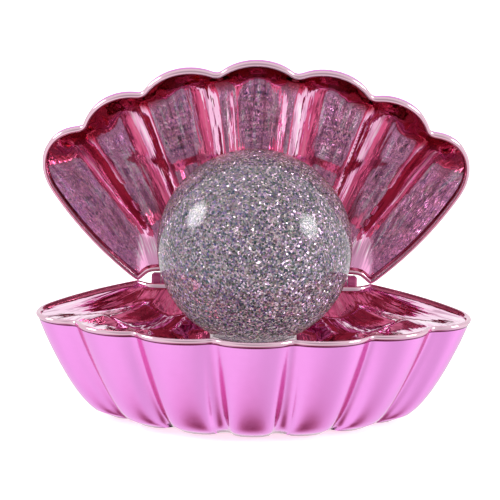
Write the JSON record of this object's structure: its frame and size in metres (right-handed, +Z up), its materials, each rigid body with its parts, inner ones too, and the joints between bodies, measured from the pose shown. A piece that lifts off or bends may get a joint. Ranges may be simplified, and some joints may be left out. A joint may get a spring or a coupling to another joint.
{
  "type": "bubbling ornament",
  "caption": "Open clam shell aquarium ornament in pink metallised plastic, with a hinged fluted lid, a clear glitter globe in its tray and an air line at the back.",
  "frame": {"origin": "middle of the foot pad's flat underside, 34 mm in front of the lid's hinge axis", "axes": "+Z up, -Y towards the open front, +X to the right seen from the front; the hinge axis runs along X"},
  "size_m": [0.1504, 0.1122, 0.1254],
  "materials": {
    "pink_satin": "metallised pink, satin outside",
    "pink_mirror": "metallised pink mirror",
    "clear_globe": "clear polished acrylic",
    "silver_glitter": "clear gel packed with silver and holographic glitter",
    "dark_pink_plastic": "moulded, matte",
    "stainless_steel": "bare stainless steel",
    "clear_rubber": "translucent silicone rubber",
    "white_plastic": "moulded",
    "clear_hose": "clear flexible hose",
    "air_stone": "sintered grit"
  },
  "bodies": {
    "base": {"air_inlet_barb": "white_plastic", "air_stone": "air_stone", "air_tube": "clear_hose", "ballast_plate": "stainless_steel", "ballast_screw_1": "stainless_steel", "ballast_screw_2": "stainless_steel", "barb_nut": "white_plastic", "barb_seal": "clear_rubber", "base_bracket_screw_1": "stainless_steel", "base_bracket_screw_2": "stainless_steel", "base_hinge_bracket": "dark_pink_plastic", "base_plate": "dark_pink_plastic", "base_screw_1": "stainless_steel", "base_screw_2": "stainless_steel", "base_screw_3": "stainless_steel", "base_screw_4": "stainless_steel", "foot_pad": "clear_rubber", "glitter_fill": "silver_glitter", "globe_plug": "clear_rubber", "globe_seat_ring": "clear_rubber", "globe_shell": "clear_globe", "hinge_pin": "stainless_steel", "inner_tray": "pink_mirror", "lid_stop_pad": "clear_rubber", "lower_shell": "pink_satin", "pin_cap_left": "dark_pink_plastic", "pin_cap_right": "dark_pink_plastic", "stone_clip_1": "white_plastic", "stone_clip_2": "white_plastic"},
    "lid": {"lid_bracket_screw_1": "stainless_steel", "lid_bracket_screw_2": "stainless_steel", "lid_hinge_bracket": "dark_pink_plastic", "lid_liner": "pink_mirror", "lid_screw_1": "stainless_steel", "lid_screw_2": "stainless_steel", "lid_screw_3": "stainless_steel", "lid_screw_4": "stainless_steel", "lid_shell": "pink_satin"}
  },
  "joints": [
    {"name": "lid_hinge", "type": "hinge", "parent": "base", "child": "lid", "pos_m": [0, 0.034, 0.0387], "axis": [-1, 0, 0], "range_deg": [-7, 20]}
  ]
}
